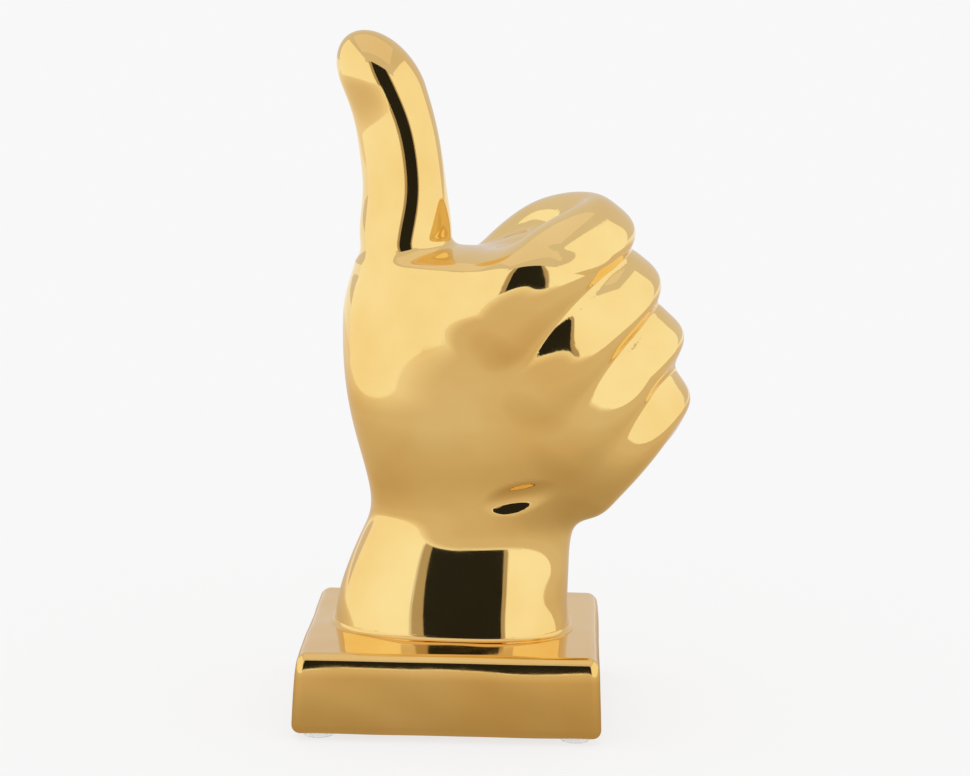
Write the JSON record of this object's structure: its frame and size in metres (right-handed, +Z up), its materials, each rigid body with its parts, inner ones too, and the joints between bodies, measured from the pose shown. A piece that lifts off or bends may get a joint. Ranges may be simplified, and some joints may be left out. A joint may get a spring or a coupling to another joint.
{
  "type": "ceramic hand sculpture",
  "caption": "Gold-glazed ceramic fist with its thumb up on a square plinth; stands on a shelf or desk as an ornament or paperweight.",
  "frame": {"origin": "on the table, under the centre of the square plinth", "axes": "+Z up along the thumb; -Y is the side that shows the back of the hand; the fingers' knuckles point to +X"},
  "size_m": [0.1139, 0.089, 0.1999],
  "materials": {
    "gold_glaze": "mirror-bright gold lustre glaze",
    "clear_bumper": "clear soft polyurethane"
  },
  "bodies": {
    "root": {"hand_casting": "gold_glaze", "slip_joint": "gold_glaze", "plinth_casting": "gold_glaze", "bumper_front_left": "clear_bumper", "bumper_front_right": "clear_bumper", "bumper_back_left": "clear_bumper", "bumper_back_right": "clear_bumper"}
  },
  "joints": []
}
